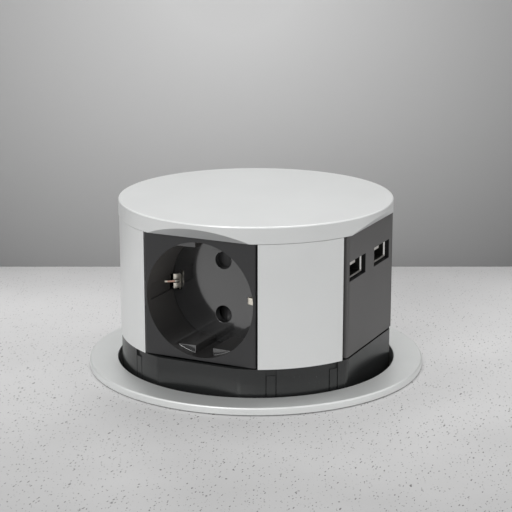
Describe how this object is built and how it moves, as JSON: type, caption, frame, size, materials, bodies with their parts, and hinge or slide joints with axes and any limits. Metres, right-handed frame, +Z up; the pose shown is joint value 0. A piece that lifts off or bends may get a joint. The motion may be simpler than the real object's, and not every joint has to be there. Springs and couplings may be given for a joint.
{
  "type": "pop-up desk socket",
  "caption": "Round pop-up socket tower for a worktop: earthed mains wells and USB ports on its flat faces, sprung to rise from a threaded sleeve under a flat trim ring.",
  "frame": {"origin": "centre of the trim ring's underside, on the worktop's surface", "axes": "+Z up along the tower's axis; -Y is the socket seen in the picture; +X is the USB face"},
  "size_m": [0.125, 0.125, 0.1785],
  "materials": {
    "silver_metal": "satin lacquered",
    "black_plastic": "semi-gloss",
    "sleeve_plastic": "fine grain",
    "foam_rubber": "foam",
    "steel": "zinc plated",
    "nickel_spring": "nickel plated",
    "contact_brass": "bare",
    "white_plastic": "natural",
    "circuit_board": "solder resist",
    "board_parts": "taped and sleeved"
  },
  "bodies": {
    "housing": {"flange_ring": "silver_metal", "flange_gasket": "foam_rubber", "outer_sleeve": "sleeve_plastic", "sleeve_base": "sleeve_plastic", "base_screws": "steel", "guide_rods": "steel", "rod_stops": "steel", "rod_stop_screws": "steel", "lift_springs": "steel", "damper_racks": "white_plastic", "latch_body": "sleeve_plastic", "cable_gland": "sleeve_plastic", "gland_locknut": "sleeve_plastic", "gland_cap": "sleeve_plastic"},
    "tower": {"top_cap": "silver_metal", "cap_screws": "steel", "side_panel_front_right": "silver_metal", "side_panel_rear_right": "silver_metal", "side_panel_rear_left": "silver_metal", "side_panel_front_left": "silver_metal", "tower_frame": "black_plastic", "tower_skirt": "black_plastic", "tower_floor": "black_plastic", "floor_screws": "steel", "guide_bushes": "white_plastic", "damper_bodies": "sleeve_plastic", "latch_striker": "sleeve_plastic", "socket_front": "black_plastic", "socket_left": "black_plastic", "socket_rear": "black_plastic", "socket_base_front": "black_plastic", "socket_base_left": "black_plastic", "socket_base_rear": "black_plastic", "earth_clip_front": "nickel_spring", "earth_clip_left": "nickel_spring", "earth_clip_rear": "nickel_spring", "contact_block_front": "black_plastic", "contact_block_left": "black_plastic", "contact_block_rear": "black_plastic", "pin_contacts": "contact_brass", "bus_bars": "contact_brass", "usb_plate": "black_plastic", "usb_shells": "steel", "usb_tongues": "white_plastic", "usb_board": "circuit_board", "board_parts": "board_parts", "terminal_block": "white_plastic"},
    "clamp_washer": {"clamp_washer": "steel"},
    "clamp_nut": {"clamp_nut": "sleeve_plastic"},
    "shutter_front": {"shutter_front": "black_plastic"},
    "shutter_left": {"shutter_left": "black_plastic"},
    "shutter_rear": {"shutter_rear": "black_plastic"},
    "damper_gear_left": {"damper_gear_left": "white_plastic"},
    "damper_gear_right": {"damper_gear_right": "white_plastic"},
    "latch_jaw_left": {"latch_jaw_left": "steel"},
    "latch_jaw_right": {"latch_jaw_right": "steel"}
  },
  "joints": [
    {"name": "tower_lift", "type": "slide", "parent": "housing", "child": "tower", "axis": [0, 0, 1], "range_m": [-0.0575, 0], "stiffness_N_per_m": 60, "springref_m": 0.15, "deforming": ["lift_springs"]},
    {"name": "clamp_washer_slide", "type": "slide", "parent": "housing", "child": "clamp_washer", "axis": [0, 0, 1], "range_m": [-0.022, 0.018]},
    {"name": "clamp_nut_turn", "type": "hinge", "parent": "clamp_washer", "child": "clamp_nut", "pos_m": [0, 0, -0.0356], "axis": [0, 0, 1], "range_deg": [-1760, 1440]},
    {"name": "damper_gear_left_spin", "type": "hinge", "parent": "tower", "child": "damper_gear_left", "pos_m": [-0.02157, 0.02157, -0.0323], "axis": [-0.7071, -0.7071, 0], "range_deg": [-550, 0]},
    {"name": "damper_gear_right_spin", "type": "hinge", "parent": "tower", "child": "damper_gear_right", "pos_m": [0.02157, -0.02157, -0.0323], "axis": [0.7071, 0.7071, 0], "range_deg": [-550, 0]},
    {"name": "latch_jaw_left_pivot", "type": "hinge", "parent": "housing", "child": "latch_jaw_left", "pos_m": [-0.008, 0, -0.0949], "axis": [0, 1, 0], "range_deg": [0, 14], "stiffness_Nm_per_rad": 0.02, "springref_deg": -5.73},
    {"name": "latch_jaw_right_pivot", "type": "hinge", "parent": "housing", "child": "latch_jaw_right", "pos_m": [0.008, 0, -0.0949], "axis": [0, 1, 0], "range_deg": [-14, 0], "stiffness_Nm_per_rad": 0.02, "springref_deg": 5.73},
    {"name": "shutter_front_turn", "type": "hinge", "parent": "tower", "child": "shutter_front", "pos_m": [0, -0.0211, 0.03295], "axis": [0, -1, 0], "range_deg": [0, 46], "stiffness_Nm_per_rad": 0.004, "springref_deg": -17.19},
    {"name": "shutter_left_turn", "type": "hinge", "parent": "tower", "child": "shutter_left", "pos_m": [-0.0211, 0, 0.03295], "axis": [-1, 0, 0], "range_deg": [0, 46], "stiffness_Nm_per_rad": 0.004, "springref_deg": -17.19},
    {"name": "shutter_rear_turn", "type": "hinge", "parent": "tower", "child": "shutter_rear", "pos_m": [0, 0.0211, 0.03295], "axis": [0, 1, 0], "range_deg": [0, 46], "stiffness_Nm_per_rad": 0.004, "springref_deg": -17.19}
  ],
  "couplings": [
    {"joint": "damper_gear_left_spin", "follows": "tower_lift", "rad_per_m": 166.67},
    {"joint": "damper_gear_right_spin", "follows": "tower_lift", "rad_per_m": 166.67},
    {"joint": "latch_jaw_right_pivot", "follows": "latch_jaw_left_pivot", "ratio": -1},
    {"joint": "clamp_washer_slide", "follows": "clamp_nut_turn", "m_per_rad": 0.0007162}
  ]
}
